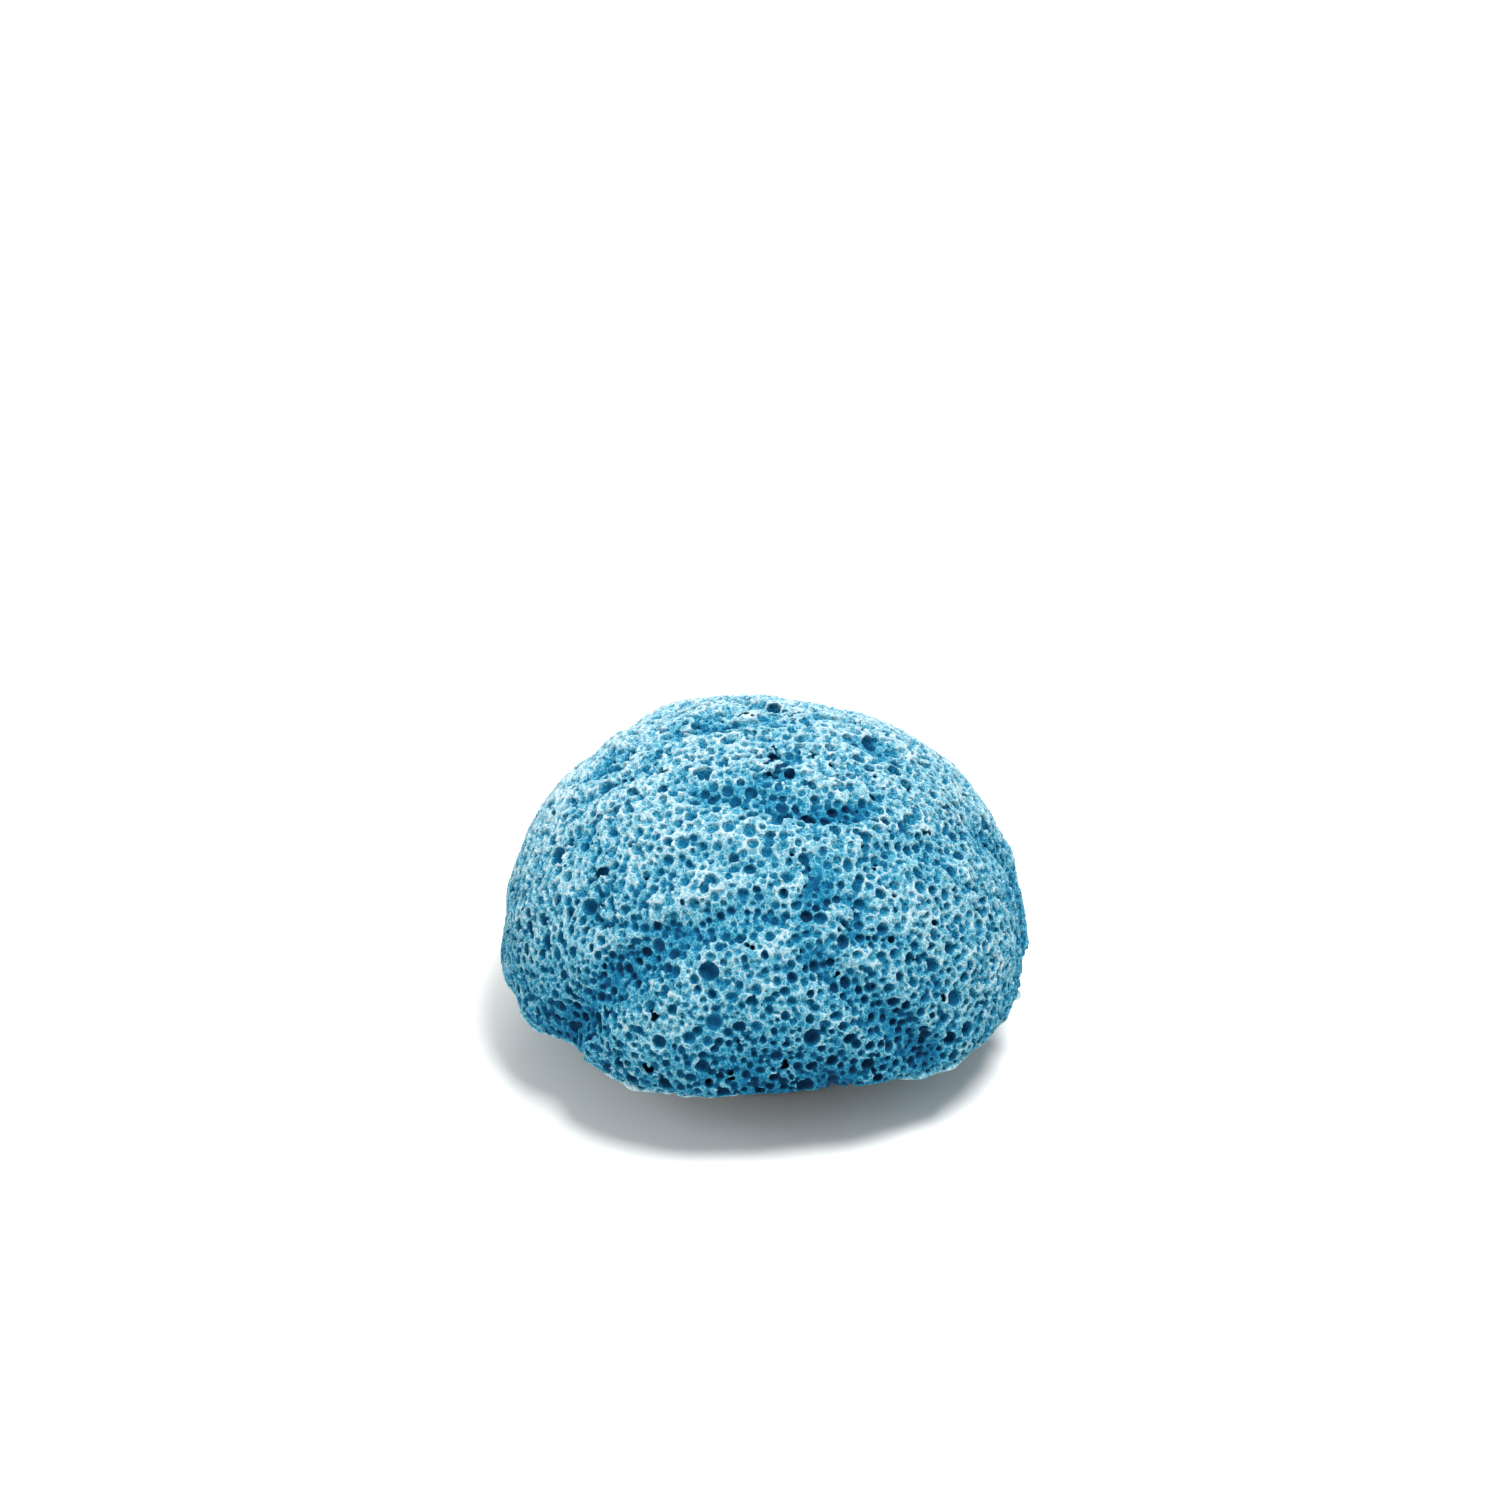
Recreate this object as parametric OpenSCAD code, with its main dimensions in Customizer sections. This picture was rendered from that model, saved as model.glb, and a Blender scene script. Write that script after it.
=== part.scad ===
// Dome air stone: a porous body that lifts off a weighted base. The base takes the air line at the back and
// feeds the chamber inside the body through a hollow spigot. The body is drawn without its open cells.
// The origin is on the surface that the base stands on, under the middle of the dome. The hose tail points
// along +Y.

/* [Porous body] */
// Width at its widest
stone_w = 70; // [70:1:90]
// Height, from its underside to its crown
stone_h = 36; // [34:0.5:45]
// Width of its underside, inside the rolled lip
lip_w = 62; // [58:1:66]
// Height of its widest line above the underside
bulge_h = 2.5; // [2:0.5:6]
// Width of the air chamber inside
chamber_w = 30; // [24:1:34]
// Height of the air chamber above the collar
chamber_h = 18.5; // [16:0.5:20]

/* [Base] */
// Height of the body's underside above the floor
stand_h = 8.5; // [8.5:0.5:12]
// Width of the base near the floor
base_w = 40; // [40:1:44]
// Width of the flange under the porous body
flange_w = 52; // [50:1:54]
// Number of cover screws
screw_count = 3; // [2:1:3]

/* [Air line] */
// Crest width of the hose tail
tail_w = 4.8; // [4.4:0.1:5]
// Width of the tail's bore
tail_bore_w = 2.4; // [2:0.1:2.4]
// Height of the tail's axis above the floor
tail_z = 4.2; // [4.2:0.1:4.4]
// Number of grooves between the tail's crests
tail_grooves = 4; // [2:1:4]

/* [Hidden] */
$fn = 96;
eps = 0.01;

// Levels, from the floor up
foot_h = 1.4;
cover_z = 0.8;
cover_t = 1.4;
cover_top = cover_z + cover_t;
roof_t = 1.8;
flange_top = stand_h - 0.5;
pocket_h = flange_top - roof_t - cover_top;
collar_t = 2;
collar_top = stand_h + collar_t;
spigot_top = stand_h + 9.5;

// Radii about the main axis
stone_r = stone_w / 2;
lip_r = lip_w / 2;
collar_r = 24;
seal_r = [20, 23];
seal_groove_h = 0.8;
recess_r = base_w / 2 - 2;
cover_gap = 0.1;
foot_r = [13.5, 17];
pocket_r = [7.2, 17];
ballast_r = [7.8, 16.5];
ballast_gap = 0.1;

// Spigot, its sealing ring, and the socket that slides over it
spigot_r = 6;
spigot_foot_r = 4.8;
spigot_foot_h = 2.2;
air_r = 3;
socket_r = spigot_r + 0.05;
socket_wall = 2;
ring_r = 0.6;
ring_z = stand_h + 5.3;
ring_out = spigot_r + 0.02;
ring_groove_r = ring_out - 2 * ring_r - 0.02;
gasket_r = 4.5;
gasket_t = 0.8;

// Cover screws
screw_pitch_r = 11.2;
screw_r = 0.9;
screw_l = 5;
screw_hole_l = 5;
head_r = 1.9;
head_t = 0.9;
slot = [2.4, 0.4, 0.5];
boss_r = 2.4;

// Hose tail and the duct behind it
tail_r = tail_w / 2;
tail_tip_y = 35;
duct_boss_r = 3.2;
stub_r = 1.9;
stub_l = 8;
shoulder_r = 3;
shoulder_t = 1.2;
// The shoulder's face is clear of the flange's rim, so that a 6 mm hose can be pushed up to it
boss_y = flange_w / 2 + 0.1 - shoulder_t;
neck_l = 0.5;
groove_depth = 0.4;

// A ring about the main axis between two radii
module ring(inner, outer, bottom, height)
    translate([0, 0, bottom])
        difference() {
            cylinder(h = height, r = outer);
            translate([0, 0, -1]) cylinder(h = height + 2, r = inner);
        }

// A cylinder that runs along +Y from the point [0, y, tail_z]
module along_y(y, radius, length)
    translate([0, y, tail_z]) rotate([-90, 0, 0]) cylinder(h = length, r = radius);

module at_screws()
    for (i = [0 : screw_count - 1])
        rotate([0, 0, 30 + i * 360 / screw_count]) translate([screw_pitch_r, 0, 0]) children();

// Quarter of an ellipse from the horizontal up to the main axis, with its centre at height z
function quarter(rx, rz, z, steps) =
    [for (i = [0 : steps]) let (a = 90 * i / steps) [rx * cos(a), z + rz * sin(a)]];

// The rolled lip, from the underside out to the widest line
function lip(steps) =
    [for (i = [0 : steps - 1]) let (a = 90 * i / steps)
        [lip_r + (stone_r - lip_r) * sin(a), stand_h + bulge_h * (1 - cos(a))]];

module porous_body() color("steelblue")
    difference() {
        rotate_extrude()
            polygon(concat([[0, stand_h]], lip(6),
                           quarter(stone_r, stone_h - bulge_h, stand_h + bulge_h, 24)));
        translate([0, 0, stand_h - 1]) cylinder(h = collar_t + 1, r = collar_r);
        translate([0, 0, collar_top - eps]) cylinder(h = chamber_h, r = chamber_w / 2);
    }

module stone_collar() color("dimgray")
    difference() {
        union() {
            translate([0, 0, stand_h]) cylinder(h = collar_t, r = collar_r);
            translate([0, 0, stand_h]) cylinder(h = spigot_top - stand_h, r = socket_r + socket_wall);
        }
        translate([0, 0, stand_h - 1]) cylinder(h = spigot_top - stand_h + 2, r = socket_r);
    }

// Outline of the base shell
function shell_outline() =
    [[0, cover_z], [base_w / 2 - 0.8, cover_z], [base_w / 2, cover_z + 1.2],
     [flange_w / 2 - 0.6, flange_top - 1.2], [flange_w / 2, flange_top - 0.8],
     [flange_w / 2, flange_top - 0.3], [flange_w / 2 - 0.3, flange_top], [0, flange_top]];

module base_shell() color("dimgray")
    difference() {
        union() {
            difference() {
                rotate_extrude() polygon(shell_outline());
                translate([0, 0, cover_z - 1]) cylinder(h = cover_t + 1, r = recess_r);
                ring(pocket_r[0], pocket_r[1], cover_top - eps, pocket_h + eps);
            }
            translate([-duct_boss_r, spigot_r - 1, cover_top])
                cube([2 * duct_boss_r, pocket_r[1] - spigot_r + 1.5, pocket_h + 0.5]);
            along_y(recess_r, duct_boss_r, boss_y - recess_r);
            at_screws() translate([0, 0, cover_top]) cylinder(h = pocket_h + 0.5, r = boss_r);
        }
        ring(seal_r[0], seal_r[1], flange_top - seal_groove_h, seal_groove_h + 1);
        translate([0, 0, flange_top - spigot_foot_h]) cylinder(h = spigot_foot_h + 1, r = spigot_foot_r);
        translate([0, 0, cover_top - 1]) cylinder(h = gasket_t + 1, r = gasket_r);
        translate([0, 0, cover_top]) cylinder(h = flange_top, r = air_r);
        along_y(0, tail_bore_w / 2, boss_y);
        along_y(boss_y - stub_l, stub_r, stub_l + 1);
        at_screws() translate([0, 0, cover_top - 1]) cylinder(h = screw_hole_l + 1, r = screw_r);
    }

// A hollow stem whose foot is pressed into the shell, with a groove for the sealing ring
module air_spigot() color("dimgray")
    difference() {
        rotate_extrude()
            polygon([[air_r, flange_top - spigot_foot_h], [spigot_foot_r, flange_top - spigot_foot_h],
                     [spigot_foot_r, flange_top], [spigot_r, flange_top], [spigot_r, spigot_top - 0.6],
                     [spigot_r - 0.6, spigot_top], [air_r, spigot_top]]);
        ring(ring_groove_r, spigot_r + 1, ring_z - ring_r - 0.05, 2 * ring_r + 0.1);
    }

module dome_seal() color("black")
    ring(seal_r[0], seal_r[1], flange_top - seal_groove_h, seal_groove_h + stand_h - flange_top);

module spigot_ring() color("black")
    rotate_extrude() translate([ring_out - ring_r, ring_z]) circle(r = ring_r, $fn = 32);

// A horseshoe, open at the back for the air duct
module ballast() color("silver")
    difference() {
        ring(ballast_r[0], ballast_r[1], cover_top, pocket_h - ballast_gap);
        translate([-duct_boss_r - 0.6, 0, 0]) cube([2 * duct_boss_r + 1.2, base_w, stand_h]);
        at_screws() cylinder(h = stand_h, r = boss_r + 0.3);
    }

module gallery_gasket() color("black")
    translate([0, 0, cover_top]) cylinder(h = gasket_t, r = gasket_r);

module base_cover() color("dimgray")
    difference() {
        translate([0, 0, cover_z]) cylinder(h = cover_t, r = recess_r - cover_gap);
        ring(foot_r[0], foot_r[1], 0, foot_h);
        at_screws() {
            cylinder(h = cover_z + head_t, r = head_r + 0.1);
            cylinder(h = stand_h, r = screw_r + 0.2);
        }
    }

module cover_screws() color("silver")
    at_screws() translate([0, 0, cover_z + head_t]) difference() {
        union() {
            translate([0, 0, -head_t + 0.1]) cylinder(h = head_t - 0.1, r = head_r);
            translate([0, 0, -eps]) cylinder(h = screw_l, r = screw_r);
        }
        for (turn = [0, 90])
            rotate([0, 0, turn]) translate([-slot[0] / 2, -slot[1] / 2, -head_t]) cube(slot);
    }

module foot_ring() color("black")
    ring(foot_r[0], foot_r[1], 0, foot_h);

// Outline of the hose tail along its own axis, from the end inside the base to the tip
function tail_outline() =
    let (run = tail_tip_y - boss_y - shoulder_t, pitch = run / (tail_grooves + 1))
        concat([[0, -stub_l], [stub_r - 0.3, -stub_l], [stub_r, -stub_l + 0.3], [stub_r, 0], [shoulder_r, 0],
                [shoulder_r, shoulder_t], [tail_r - groove_depth, shoulder_t],
                [tail_r - groove_depth, shoulder_t + neck_l], [tail_r, shoulder_t + neck_l]],
               [for (i = [1 : tail_grooves], p = [[0, -0.9], [groove_depth, -0.9], [0, 0.35]])
                   [tail_r - p[0], shoulder_t + i * pitch + p[1]]],
               [[tail_r, shoulder_t + run - 0.8], [tail_r - 0.5, shoulder_t + run], [0, shoulder_t + run]]);

module hose_tail() color("dimgray")
    translate([0, boss_y, tail_z]) rotate([-90, 0, 0])
        difference() {
            rotate_extrude() polygon(tail_outline());
            translate([0, 0, -stub_l - 1]) cylinder(h = stub_l + tail_tip_y, r = tail_bore_w / 2);
        }

porous_body();
stone_collar();
base_shell();
air_spigot();
dome_seal();
spigot_ring();
ballast();
gallery_gasket();
base_cover();
cover_screws();
foot_ring();
hose_tail();
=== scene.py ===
import math

import bpy
import numpy as np
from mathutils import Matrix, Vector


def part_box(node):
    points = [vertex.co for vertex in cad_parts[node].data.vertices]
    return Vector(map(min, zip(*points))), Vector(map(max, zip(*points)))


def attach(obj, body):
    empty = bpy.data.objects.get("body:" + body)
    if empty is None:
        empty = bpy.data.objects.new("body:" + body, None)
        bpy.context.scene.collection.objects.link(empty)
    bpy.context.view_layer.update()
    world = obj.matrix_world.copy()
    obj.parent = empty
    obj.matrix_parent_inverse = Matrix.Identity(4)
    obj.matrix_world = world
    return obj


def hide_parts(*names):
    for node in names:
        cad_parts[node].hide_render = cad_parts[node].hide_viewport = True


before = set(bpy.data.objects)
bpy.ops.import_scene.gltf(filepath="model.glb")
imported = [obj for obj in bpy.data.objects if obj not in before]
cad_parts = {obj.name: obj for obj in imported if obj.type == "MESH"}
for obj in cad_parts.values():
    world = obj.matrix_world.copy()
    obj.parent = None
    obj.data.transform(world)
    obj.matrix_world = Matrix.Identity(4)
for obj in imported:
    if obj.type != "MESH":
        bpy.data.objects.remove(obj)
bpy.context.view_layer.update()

import openvdb
from mathutils import Vector

MM = 0.001
LIGHT_AIM = Vector((0, 0, 0.02))
RNG = np.random.default_rng(7)

# ---------------------------------------------------------------- the view, the floor and the light


def add_camera(target, distance, elevation_deg, lens_mm):
    """A camera on the -Y side that looks at target from elevation_deg above the horizon."""
    data = bpy.data.cameras.new("camera")
    data.lens = lens_mm
    data.sensor_width = 36
    data.clip_start = 0.01
    camera = bpy.data.objects.new("camera", data)
    bpy.context.scene.collection.objects.link(camera)
    tilt = math.radians(elevation_deg)
    away = Vector((0, -math.cos(tilt), math.sin(tilt)))
    camera.location = Vector(target) + away * distance
    camera.rotation_euler = (-away).to_track_quat("-Z", "Y").to_euler()
    bpy.context.scene.camera = camera


def add_light(name, place, size, watts):
    """A round area light that points at the middle of the object."""
    data = bpy.data.lights.new(name, "AREA")
    data.shape = "DISK"
    data.size = size
    data.energy = watts
    lamp = bpy.data.objects.new(name, data)
    bpy.context.scene.collection.objects.link(lamp)
    lamp.location = place
    lamp.rotation_euler = (LIGHT_AIM - Vector(place)).to_track_quat("-Z", "Y").to_euler()


def add_floor(half_width):
    """A flat floor with a cove that rises at the back, so that the main view shows no horizon."""
    mesh = bpy.data.meshes.new("floor")
    cove, steps = 0.4 * half_width, 12
    profile = [(-half_width, 0.0), (half_width - cove, 0.0)]
    for i in range(1, steps + 1):
        a = math.radians(90 * i / steps)
        profile.append((half_width - cove * (1 - math.sin(a)), cove * (1 - math.cos(a))))
    profile.append((half_width, half_width))
    vertices = [(x, y, z) for y, z in profile for x in (-2 * half_width, 2 * half_width)]
    faces = [(2 * i, 2 * i + 1, 2 * i + 3, 2 * i + 2) for i in range(len(profile) - 1)]
    mesh.from_pydata(vertices, [], faces)
    mesh.polygons.foreach_set("use_smooth", [True] * len(faces))
    floor = bpy.data.objects.new("floor", mesh)
    bpy.context.scene.collection.objects.link(floor)
    nodes = Nodes("floor_white")
    nodes.shader(colour=(0.86, 0.86, 0.85, 1), roughness=0.7)
    mesh.materials.append(nodes.material)


# ---------------------------------------------------------------- materials


class Nodes:
    """A material and short calls that add nodes to it."""

    def __init__(self, name):
        self.material = bpy.data.materials.new(name)
        self.material.use_nodes = True
        self.tree = self.material.node_tree
        self.principled = self.tree.nodes["Principled BSDF"]

    def shader(self, colour=None, roughness=0.5, specular=0.5, metallic=0.0):
        if colour is not None:
            self.principled.inputs["Base Color"].default_value = colour
        self.principled.inputs["Roughness"].default_value = roughness
        self.principled.inputs["Specular IOR Level"].default_value = specular
        self.principled.inputs["Metallic"].default_value = metallic

    def link(self, source, socket):
        self.tree.links.new(source, socket)

    def place(self):
        """The piece's own coordinates, in metres."""
        return self.tree.nodes.new("ShaderNodeTexCoord").outputs["Object"]

    def attribute(self, name):
        node = self.tree.nodes.new("ShaderNodeAttribute")
        node.attribute_name = name
        return node.outputs["Fac"]

    def noise(self, size_mm, detail=2.0, roughness=0.5):
        node = self.tree.nodes.new("ShaderNodeTexNoise")
        node.inputs["Scale"].default_value = 1 / (size_mm * MM)
        node.inputs["Detail"].default_value = detail
        node.inputs["Roughness"].default_value = roughness
        self.link(self.place(), node.inputs["Vector"])
        return node.outputs["Fac"]

    def cells(self, size_mm, feature="F1"):
        node = self.tree.nodes.new("ShaderNodeTexVoronoi")
        node.feature = feature
        node.inputs["Scale"].default_value = 1 / (size_mm * MM)
        self.link(self.place(), node.inputs["Vector"])
        return node.outputs["Distance"]

    def math(self, operation, a, b):
        node = self.tree.nodes.new("ShaderNodeMath")
        node.operation = operation
        for socket, value in zip(node.inputs, (a, b)):
            if isinstance(value, (int, float)):
                socket.default_value = value
            else:
                self.link(value, socket)
        return node.outputs[0]

    def span(self, value, low, high, to_low=0.0, to_high=1.0):
        node = self.tree.nodes.new("ShaderNodeMapRange")
        self.link(value, node.inputs["Value"])
        for socket, number in zip(("From Min", "From Max", "To Min", "To Max"), (low, high, to_low, to_high)):
            node.inputs[socket].default_value = number
        return node.outputs["Result"]

    def ramp(self, value, stops):
        """stops is a list of (position, linear colour)."""
        node = self.tree.nodes.new("ShaderNodeValToRGB")
        elements = node.color_ramp.elements
        while len(elements) < len(stops):
            elements.new(0.5)
        for element, (position, colour) in zip(elements, stops):
            element.position = position
            element.color = (*colour, 1)
        self.link(value, node.inputs["Fac"])
        return node.outputs["Color"]

    def bump(self, height, distance_mm, strength=1.0):
        node = self.tree.nodes.new("ShaderNodeBump")
        node.inputs["Strength"].default_value = strength
        node.inputs["Distance"].default_value = distance_mm * MM
        self.link(height, node.inputs["Height"])
        self.link(node.outputs["Normal"], self.principled.inputs["Normal"])

    def colour(self, source):
        self.link(source, self.principled.inputs["Base Color"])

    def roughness(self, source):
        self.link(source, self.principled.inputs["Roughness"])


def srgb(red, green, blue):
    """An 8-bit sRGB colour as linear values."""
    shares = [value / 255 for value in (red, green, blue)]
    return tuple(c / 12.92 if c <= 0.04 else ((c + 0.055) / 1.055) ** 2.4 for c in shares)


def porous_material():
    """Blue open-cell foam: a pale web where it stands out and a deeper blue with depth, both painted light
    and shade brought in by the height attribute, and a net of tiny cells.
    """
    n = Nodes("blue_foam")
    n.shader(roughness=0.9, specular=0.2)
    net = n.span(n.cells(0.85, "DISTANCE_TO_EDGE"), 0.0, 0.11, 0.24, -0.05)
    # Dark spots for pinholes too small for the mesh: painted shade in tiny pits
    pinholes = n.span(n.cells(0.5), 0.08, 0.36, -0.30, 0.03)
    speckle = n.span(n.noise(0.3, 5, 0.8), 0.32, 0.68, -0.22, 0.22)
    patches = n.span(n.noise(2.2, 4, 0.6), 0.34, 0.66, -0.15, 0.15)
    # The fine marks are on the web, and fade towards the bottom of a cell
    height = n.attribute("height")
    marks = n.math("ADD", n.math("ADD", net, pinholes), n.math("ADD", speckle, patches))
    tone = n.math("ADD", height, n.math("MULTIPLY", marks, n.span(height, 0.15, 0.45, 0.25, 0.95)))
    # The ramp's dark end is reached mostly through painted shade in cells, creases and wrinkles, its pale end
    # through painted light on the crown and cell rims
    n.colour(n.ramp(tone, [
        (0.00, srgb(0, 48, 84)),
        (0.14, srgb(0, 76, 116)),
        (0.30, srgb(0, 102, 142)),
        (0.46, srgb(42, 134, 164)),
        (0.62, srgb(88, 158, 180)),
        (0.80, srgb(144, 186, 198)),
        (1.00, srgb(192, 210, 217)),
    ]))
    n.bump(n.math("ADD", n.noise(0.35, 4, 0.65), n.math("ADD", net, pinholes)), 0.22, 0.7)
    return n.material


def plastic_material():
    n = Nodes("grey_plastic")
    n.shader(roughness=0.4, specular=0.45)
    n.colour(n.ramp(n.noise(6, 3), [(0.3, srgb(44, 50, 54)), (0.7, srgb(58, 64, 68))]))
    n.roughness(n.span(n.noise(1.5, 4), 0.3, 0.7, 0.34, 0.52))
    n.bump(n.cells(0.25), 0.02, 0.5)
    return n.material


def rubber_material():
    n = Nodes("black_rubber")
    n.shader(roughness=0.8, specular=0.3)
    n.colour(n.ramp(n.noise(2, 5, 0.6), [(0.3, srgb(16, 16, 17)), (0.75, srgb(38, 38, 39))]))
    n.roughness(n.span(n.noise(0.8, 3), 0.3, 0.7, 0.68, 0.9))
    n.bump(n.noise(0.3, 3), 0.03, 0.4)
    return n.material


def steel_material():
    n = Nodes("brushed_steel")
    n.shader(roughness=0.35, metallic=1.0)
    n.colour(n.ramp(n.noise(1.2, 4), [(0.3, srgb(138, 140, 142)), (0.7, srgb(190, 191, 192))]))
    n.roughness(n.span(n.noise(0.6, 4), 0.3, 0.7, 0.26, 0.44))
    n.bump(n.noise(0.25, 2), 0.01, 0.5)
    return n.material


# ---------------------------------------------------------------- the porous body, in millimetres

GRID_STEP = 0.25
MARGIN = 2.5  # of the grid, round the body
LIP_WIDTH = 4.0  # how far the rolled lip reaches in under the body
BULGE = 2.5  # height of the widest line above the underside
WRINKLE_DEPTH = 0.9
HEM_HEIGHT = 0.5
HEM_REACH = 0.6  # how far the hem stands out
OVERLAP = 0.10  # how far two cells may overlap
FLOOD_ROUNDS = 90  # how many steps of the grid an opening or a web is followed
# The collar's seat and the air chamber, as in the CAD
SEAT_RADIUS = 24.05
COLLAR_THICKNESS = 2.0
CHAMBER_RADIUS = 15
CHAMBER_HEIGHT = 18.5
CHAMBER_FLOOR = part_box("stone_collar")[0][2] / MM + COLLAR_THICKNESS
CHAMBER_TOP = CHAMBER_FLOOR + CHAMBER_HEIGHT


def direction(azimuth, elevation):
    """A unit vector. Azimuth 0 faces the front, -Y, and 90 faces +X; elevation is above the horizon."""
    a, e = math.radians(azimuth), math.radians(elevation)
    return np.array([math.sin(a) * math.cos(e), -math.cos(a) * math.cos(e), math.sin(e)])


class Body:
    """The dome as a signed distance on a grid, positive outside."""

    def __init__(self, low, high):
        self.radius = (high[0] - low[0]) / 2
        self.bottom = low[2]
        self.middle = self.bottom + BULGE
        self.rise = high[2] - self.middle
        start = np.array(low) - MARGIN
        self.axes = [np.arange(start[i], high[i] + MARGIN, GRID_STEP) for i in range(3)]
        self.start = np.array([a[0] for a in self.axes])
        self.shape = tuple(len(a) for a in self.axes)
        self.x, self.y, self.z = [
            a.astype(np.float32).reshape([-1 if i == j else 1 for j in range(3)])
            for i, a in enumerate(self.axes)
        ]

    def waves(self, *lengths):
        """Smooth random values with that wavelength, about -1 to 1, from a lattice with cubic B-splines.
        Three lengths are those along X, Y and Z."""
        lengths = lengths if len(lengths) == 3 else lengths * 3
        counts = [int(np.ptp(a) / length) + 4 for a, length in zip(self.axes, lengths)]
        field = RNG.standard_normal(counts).astype(np.float32)
        for axis, (a, count) in enumerate(zip(self.axes, counts)):
            t = (a - a[0]) / lengths[axis]
            base = np.floor(t).astype(int)
            f = t - base
            weights = np.zeros((len(a), count), np.float32)
            parts = ((1 - f) ** 3, 3 * f**3 - 6 * f**2 + 4, -3 * f**3 + 3 * f**2 + 3 * f + 1, f**3)
            for k, part in enumerate(parts):
                weights[np.arange(len(a)), base + k] = part / 6
            field = np.moveaxis(np.tensordot(weights, field, (1, axis)), 0, axis)
        return field / (2 * field.std())

    def smooth_skin(self):
        """The plain dome: half an ellipsoid over a rolled lip, with a flat underside."""
        out = np.sqrt(self.x**2 + self.y**2)
        up = self.z - self.middle
        a, b = self.radius, self.rise
        k0 = np.sqrt((out / a) ** 2 + (up / b) ** 2)
        k1 = np.sqrt((out / a**2) ** 2 + (up / b**2) ** 2) + 1e-6
        dome = k0 * (k0 - 1) / k1
        a, b = LIP_WIDTH, BULGE
        over = np.maximum(out - (self.radius - LIP_WIDTH), 0)
        k0 = np.sqrt((over / a) ** 2 + (up / b) ** 2)
        k1 = np.sqrt((over / a**2) ** 2 + (up / b**2) ** 2) + 1e-6
        lip = k0 * (k0 - 1) / k1
        return np.where(up > 0, dome, lip).astype(np.float32)

    def on_skin(self, azimuth, elevation):
        d = direction(azimuth, elevation)
        scale = 1 / math.sqrt((d[0] / self.radius) ** 2 + (d[1] / self.radius) ** 2 + (d[2] / self.rise) ** 2)
        return np.array([0, 0, self.middle]) + d * scale

    def near(self, point, width):
        """A soft bump of that width round a point, 1 at its middle."""
        squared = (self.x - point[0]) ** 2 + (self.y - point[1]) ** 2 + (self.z - point[2]) ** 2
        return np.exp(-squared / width**2)

    def groove(self, route, width):
        """1 along a route over the skin and less beside it. The route is a list of (azimuth, elevation)."""
        best = np.full(self.shape, 1e9, np.float32)
        points = [self.on_skin(*p) for p in route]
        for a, b in zip(points, points[1:]):
            span = b - a
            t = (self.x - a[0]) * span[0] + (self.y - a[1]) * span[1] + (self.z - a[2]) * span[2]
            t = np.clip(t / (span @ span), 0, 1)
            squared = (
                (self.x - a[0] - t * span[0]) ** 2
                + (self.y - a[1] - t * span[1]) ** 2
                + (self.z - a[2] - t * span[2]) ** 2
            )
            np.minimum(best, squared, out=best)
        return np.exp(-best / width**2)


def spread(seeds, allowed, rounds):
    """The part of allowed that seeds reach through face neighbours."""
    reached = seeds & allowed
    for _ in range(rounds):
        grown = reached.copy()
        for axis in range(3):
            ahead = [slice(None)] * 3
            behind = [slice(None)] * 3
            ahead[axis] = slice(1, None)
            behind[axis] = slice(None, -1)
            grown[tuple(ahead)] |= reached[tuple(behind)]
            grown[tuple(behind)] |= reached[tuple(ahead)]
        grown &= allowed
        if (grown == reached).all():
            break
        reached = grown
    return reached


# The creases, as (depth, width, route), with the route's points as (azimuth, elevation)
CREASES = [
    (2.4, 2.4, [(-52, -4), (-41, 12), (-30, 26), (-18, 36), (0, 40)]),
    (2.0, 2.0, [(14, 28), (24, 18), (32, 8), (36, 3)]),
    (1.2, 1.8, [(-34, 46), (-22, 52), (-6, 50), (14, 52)]),
    (1.0, 2.2, [(-30, 64), (-14, 68), (10, 66), (40, 60)]),
    (1.3, 1.8, [(64, 40), (46, 48), (30, 46)]),
    (1.6, 2.2, [(120, 8), (138, 30), (150, 52), (190, 62)]),
    (1.7, 2.4, [(-150, -2), (-142, 24), (-136, 44)]),
    (1.4, 2.0, [(82, -4), (90, 18), (84, 36)]),
    (1.6, 2.2, [(168, 0), (176, 22), (188, 40)]),
]
# The swellings and hollows, as (height, width, azimuth, elevation)
SWELLINGS = [
    (0.8, 10, -26, 12), (0.6, 9, 8, 24), (0.7, 9, 60, 14), (-0.8, 9, -30, 78), (-1.2, 11, 56, 62),
    (0.6, 11, -78, 24), (0.6, 11, 112, 34), (0.7, 11, 160, 14), (0.6, 11, -120, 14), (0.5, 10, -150, 56),
    (-1.6, 13, 4, -6), (0.3, 8, 52, 0),
]
# Uneven skin with no pattern, as (height, wavelength)
UNEVEN = [(0.32, 14), (0.30, 6), (0.26, 2.4), (0.07, 1.1)]
# Round cells, as (radius, how many to try for), and the shallowest and deepest that a middle may lie. That
# reach is in radii for the surface cells and in mm for the deep ones
SURFACE_CELLS = [(1.18, 26), (0.98, 100), (0.82, 360), (0.69, 880), (0.58, 1550), (0.48, 2100), (0.39, 2600)]
SURFACE_REACH = (0.0, 0.55)
DEEP_CELLS = [(0.85, 240), (0.65, 300)]
DEEP_REACH = (0.8, 1.9)


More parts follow.
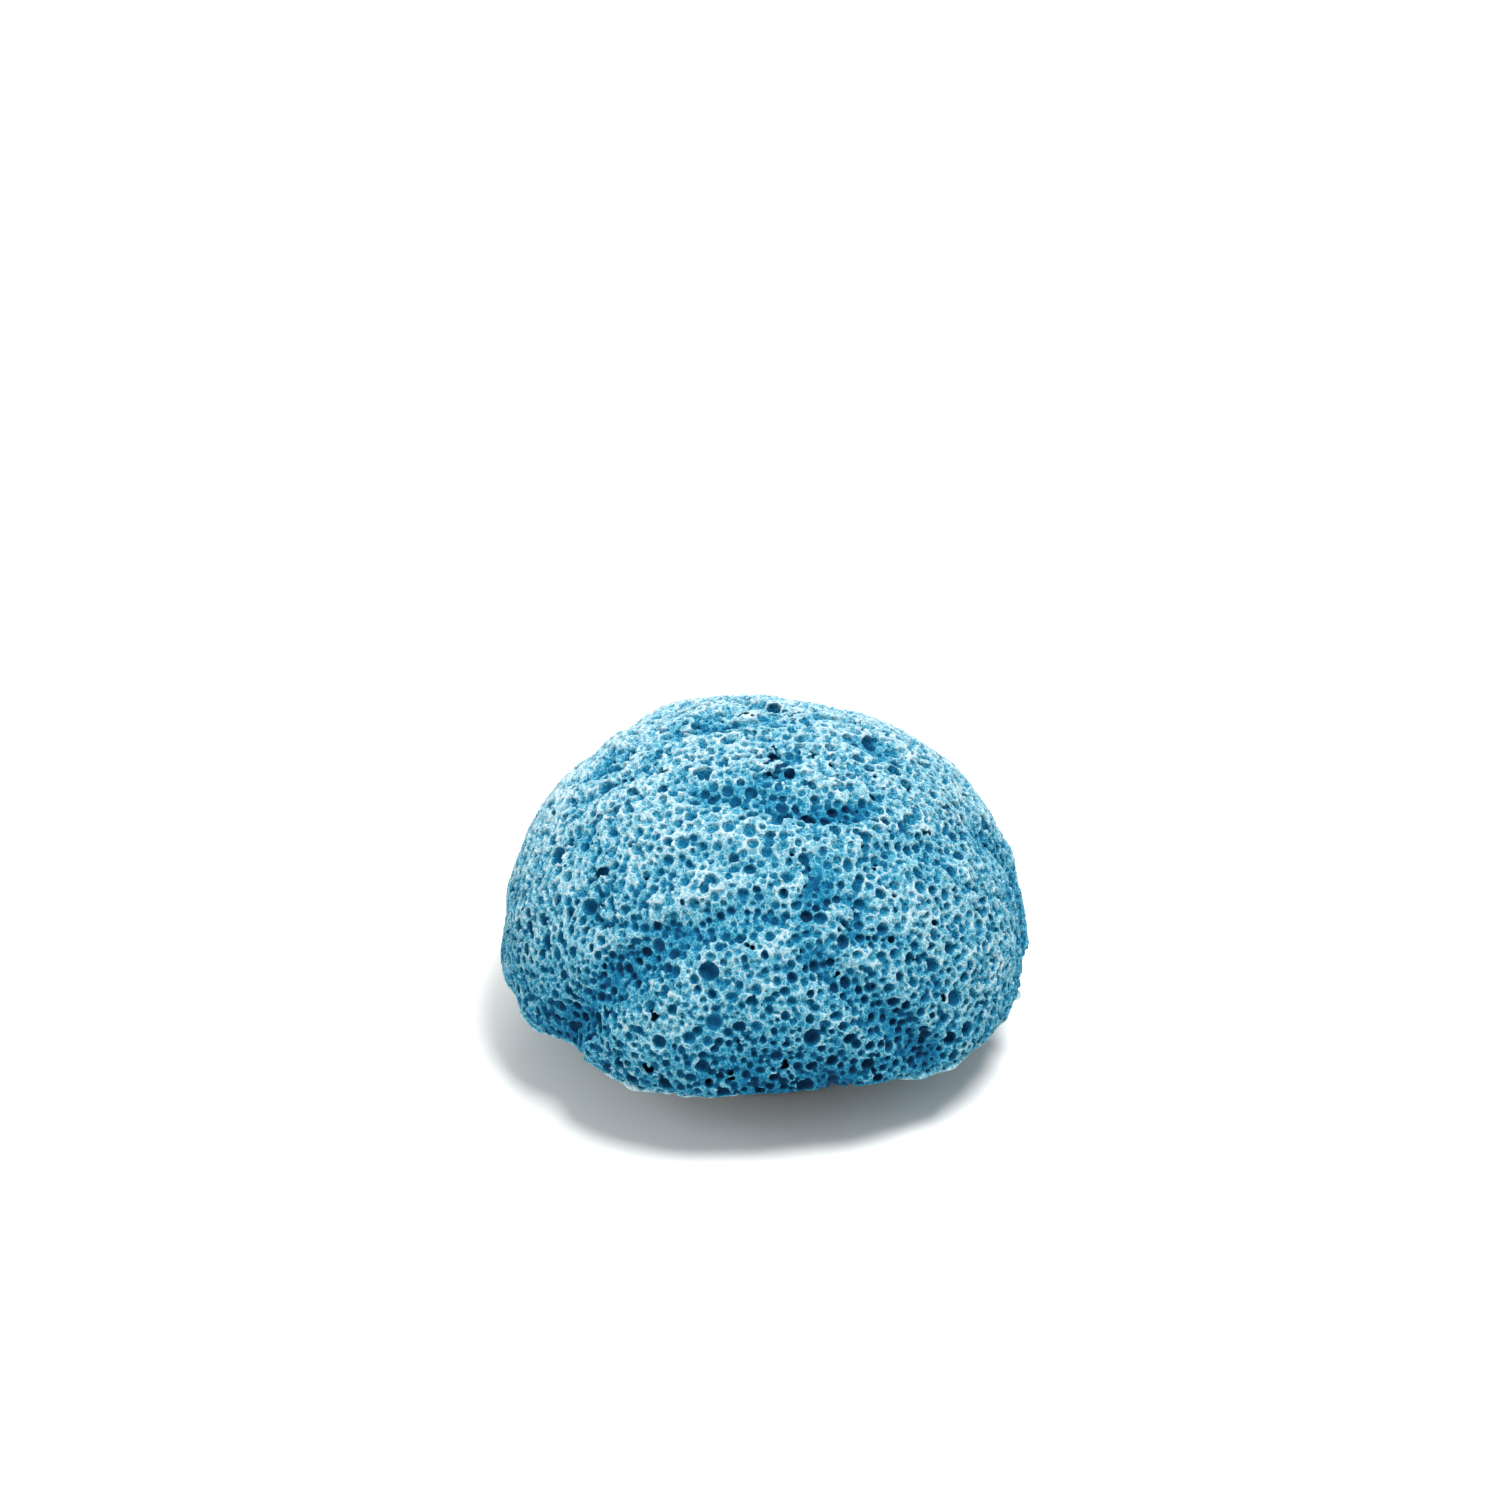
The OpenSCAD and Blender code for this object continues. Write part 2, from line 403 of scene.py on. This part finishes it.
class Cells:
    """Round cells under the skin. gap is the distance to the nearest, negative inside one."""

    def __init__(self, body, skin):
        self.shape = body.shape
        self.skin = skin.ravel()
        self.gap = np.full(body.shape, 9.0, np.float32)

    def pack(self, radius, wanted, shallow, deep):
        """Packs cells of about that radius, with their middles that deep, wherever there is room."""
        flat_gap = self.gap.ravel()
        band = np.flatnonzero((self.skin <= -shallow) & (self.skin >= -deep))
        made = 0
        for _ in range(12):
            room = band[flat_gap[band] > radius - OVERLAP]
            if made >= wanted or len(room) < 4:
                break
            for index in RNG.choice(room, min(len(room), 2 * (wanted - made)), replace=False):
                if made < wanted and flat_gap[index] > radius - OVERLAP:
                    self.carve(index, radius * RNG.uniform(0.9, 1.08))
                    made += 1

    def carve(self, index, radius):
        cell = np.array(np.unravel_index(index, self.shape))
        centre = cell + RNG.uniform(-0.5, 0.5, 3)
        stretch = RNG.uniform(0.78, 1.22, 3)
        reach = int(math.ceil((radius * 2.3 + 0.4) / GRID_STEP))
        low = np.maximum(cell - reach, 0)
        high = np.minimum(cell + reach + 1, self.shape)
        block = tuple(slice(a, b) for a, b in zip(low, high))
        squared = 0
        for axis in range(3):
            offset = (np.arange(low[axis], high[axis]) - centre[axis]) * GRID_STEP / stretch[axis]
            squared = squared + (offset**2).reshape([-1 if axis == j else 1 for j in range(3)])
        self.gap[block] = np.minimum(self.gap[block], (np.sqrt(squared) - radius).astype(np.float32))


def box_mean(values, reach):
    """The mean of values over a cube that reaches that many steps each way."""
    for axis in range(3):
        padded = np.concatenate([np.repeat(values.take([0], axis), reach + 1, axis), values,
                                 np.repeat(values.take([-1], axis), reach, axis)], axis)
        total = np.cumsum(padded, axis, dtype=np.float32)
        width, size = 2 * reach + 1, values.shape[axis]
        values = (total.take(range(width, width + size), axis) - total.take(range(size), axis)) / width
    return values


def sample(field, places):
    """Values of field at places given in grid steps, by linear interpolation."""
    base = np.clip(np.floor(places).astype(int), 0, np.array(field.shape) - 2)
    f = places - base
    total = 0
    for dx in (0, 1):
        for dy in (0, 1):
            for dz in (0, 1):
                weight = (
                    (f[:, 0] if dx else 1 - f[:, 0])
                    * (f[:, 1] if dy else 1 - f[:, 1])
                    * (f[:, 2] if dz else 1 - f[:, 2])
                )
                total = total + weight * field[base[:, 0] + dx, base[:, 1] + dy, base[:, 2] + dz]
    return total


def make_porous_body():
    """The foam as a signed distance, and the fields that its colour follows."""
    low, high = [np.array(corner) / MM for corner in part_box("porous_body")]
    body = Body(low, high)
    skin = body.smooth_skin()
    uneven = 0.3
    for height, length in UNEVEN:
        uneven = uneven - height * body.waves(length)
    skin += uneven
    # Short wrinkles that run across the upper half
    upper_half = np.clip((body.z - body.middle) / body.rise * 2 - 0.3, 0, 1)
    wrinkle = upper_half * np.exp(-((body.waves(6, 3, 2.4) / 0.24) ** 2))
    wrinkle *= np.clip(1.6 * body.waves(5) + 0.5, 0, 1)
    skin += WRINKLE_DEPTH * wrinkle
    for depth, width, route in CREASES:
        skin += depth * body.groove(route, width)
    for height, width, azimuth, elevation in SWELLINGS:
        skin -= height * body.near(body.on_skin(azimuth, elevation), width)
    # The thin crinkled hem along the lower edge
    hem = np.exp(-(((body.z - body.bottom - HEM_HEIGHT) / HEM_HEIGHT) ** 2))
    hem = hem * np.clip(1 + 0.7 * body.waves(1.8), 0, 2)
    skin -= HEM_REACH * hem
    skin = np.maximum(skin, body.bottom - body.z - 0.15 * body.waves(3))
    cells = Cells(body, skin)
    for radius, wanted in SURFACE_CELLS:
        cells.pack(radius, wanted, SURFACE_REACH[0] * radius, SURFACE_REACH[1] * radius)
    for radius, wanted in DEEP_CELLS:
        cells.pack(radius, wanted, *DEEP_REACH)
    solid = np.maximum(skin, -cells.gap - 0.5 * hem)
    solid += 0.04 * body.waves(0.8)
    # Only cells that open to the outside are kept, and no loose crumbs
    outside = skin > 0.05
    empty = (solid > 0) | outside
    solid[empty & ~spread(outside, empty, FLOOD_ROUNDS)] = -0.05
    full = solid <= 0
    solid[full & ~spread(skin < -DEEP_REACH[1] - 1.5, full, FLOOD_ROUNDS)] = 0.05
    # Room for the collar, and the air chamber above it
    out = np.sqrt(body.x**2 + body.y**2)
    seat = np.maximum(out - SEAT_RADIUS, body.z - CHAMBER_FLOOR)
    chamber = np.maximum(out - CHAMBER_RADIUS, body.z - CHAMBER_TOP)
    chamber = np.where(body.z > CHAMBER_FLOOR - 1, chamber, 9)
    solid = np.maximum(solid, -np.minimum(seat, chamber))
    return body, skin, solid, cells.gap, wrinkle, hem


def add_porous_body():
    """The foam as a mesh, with how pale each point is in its "height" attribute, mostly painted light and
    shade, riding on the stone.
    """
    body, skin, solid, gap, wrinkle, hem = make_porous_body()
    grid = openvdb.FloatGrid()
    grid.background = 1.0
    grid.copyFromArray(np.clip(solid, -1, 1).astype(np.float32))
    points, _, quads = grid.convertToPolygons(isovalue=0.0, adaptivity=0.0)
    # How much foam lies round each point, which darkens it below as painted occlusion shade
    fill = box_mean((solid < 0).astype(np.float32), round(0.8 / GRID_STEP))
    depth = np.maximum(-sample(skin, points), 0)
    # sunk is how far the skin lies below the plain dome; hollows and creases are darkened with it as painted
    # shade, swellings made paler as painted light
    sunk = np.clip(sample(skin - body.smooth_skin(), points), -1.0, 3)
    # up runs from 0 at the underside to 1 at the crown; the colour gets paler with it as painted light from
    # above
    up = (points[:, 2] * GRID_STEP + body.start[2] - body.bottom) / (body.middle + body.rise - body.bottom)
    # edge is 1 on cell rims at the skin, which are made paler below as a painted highlight
    edge = np.exp(-((sample(gap, points) / 0.14) ** 2) - (depth / 0.25) ** 2)
    # Painted light and shade: paler towards the crown as if lit from above, paler on cell rims as a painted
    # highlight, and darker inside cells, creases, wrinkles and where foam closes round a point as painted
    # shade; paler on the hem
    height = (0.35 + 0.46 * np.clip(up, 0, 1) - 0.28 * np.minimum(depth, 1.1) - 0.12 * sunk + 0.20 * edge
              - 0.3 * (sample(fill, points) - 0.45) - 0.26 * sample(wrinkle, points)
              + 0.22 * sample(hem, points))
    mesh = bpy.data.meshes.new("porous_dome")
    mesh.vertices.add(len(points))
    mesh.vertices.foreach_set("co", ((points * GRID_STEP + body.start) * MM).astype(np.float32).ravel())
    mesh.loops.add(quads.size)
    mesh.loops.foreach_set("vertex_index", quads[:, ::-1].ravel().astype(np.int32))
    mesh.polygons.add(len(quads))
    mesh.polygons.foreach_set("loop_start", np.arange(0, quads.size, 4, dtype=np.int32))
    mesh.polygons.foreach_set("use_smooth", np.ones(len(quads), bool))
    mesh.attributes.new("height", "FLOAT", "POINT").data.foreach_set("value", height.astype(np.float32))
    mesh.update(calc_edges=True)
    mesh.validate()
    piece = bpy.data.objects.new("porous_dome", mesh)
    bpy.context.scene.collection.objects.link(piece)
    mesh.materials.append(porous_material())
    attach(piece, "stone")
    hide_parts("porous_body")


# ---------------------------------------------------------------- the scene

WIDEST_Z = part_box("porous_body")[0][2] + BULGE * MM
add_camera(target=(-0.0020, 0.01345, WIDEST_Z + 0.0222), distance=0.470, elevation_deg=30, lens_mm=85)
add_floor(half_width=0.6)
add_light("key", place=(0.14, -0.10, 0.58), size=0.22, watts=3.7)
add_light("fill", place=(-0.45, -0.30, 0.30), size=0.5, watts=1.6)
add_light("rim", place=(0.05, 0.45, 0.45), size=0.5, watts=1.9)
world = bpy.data.worlds.new("white_room")
world.use_nodes = True
world.node_tree.nodes["Background"].inputs["Color"].default_value = (1, 1, 1, 1)
world.node_tree.nodes["Background"].inputs["Strength"].default_value = 0.42
bpy.context.scene.world = world
bpy.context.scene.view_settings.view_transform = "Standard"

add_porous_body()

for material, nodes in (
    (plastic_material(), ("stone_collar", "base_shell", "air_spigot", "base_cover", "hose_tail")),
    (rubber_material(), ("dome_seal", "spigot_ring", "gallery_gasket", "foot_ring")),
    (steel_material(), ("ballast", "cover_screws")),
):
    for node in nodes:
        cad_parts[node].material_slots[0].material = material
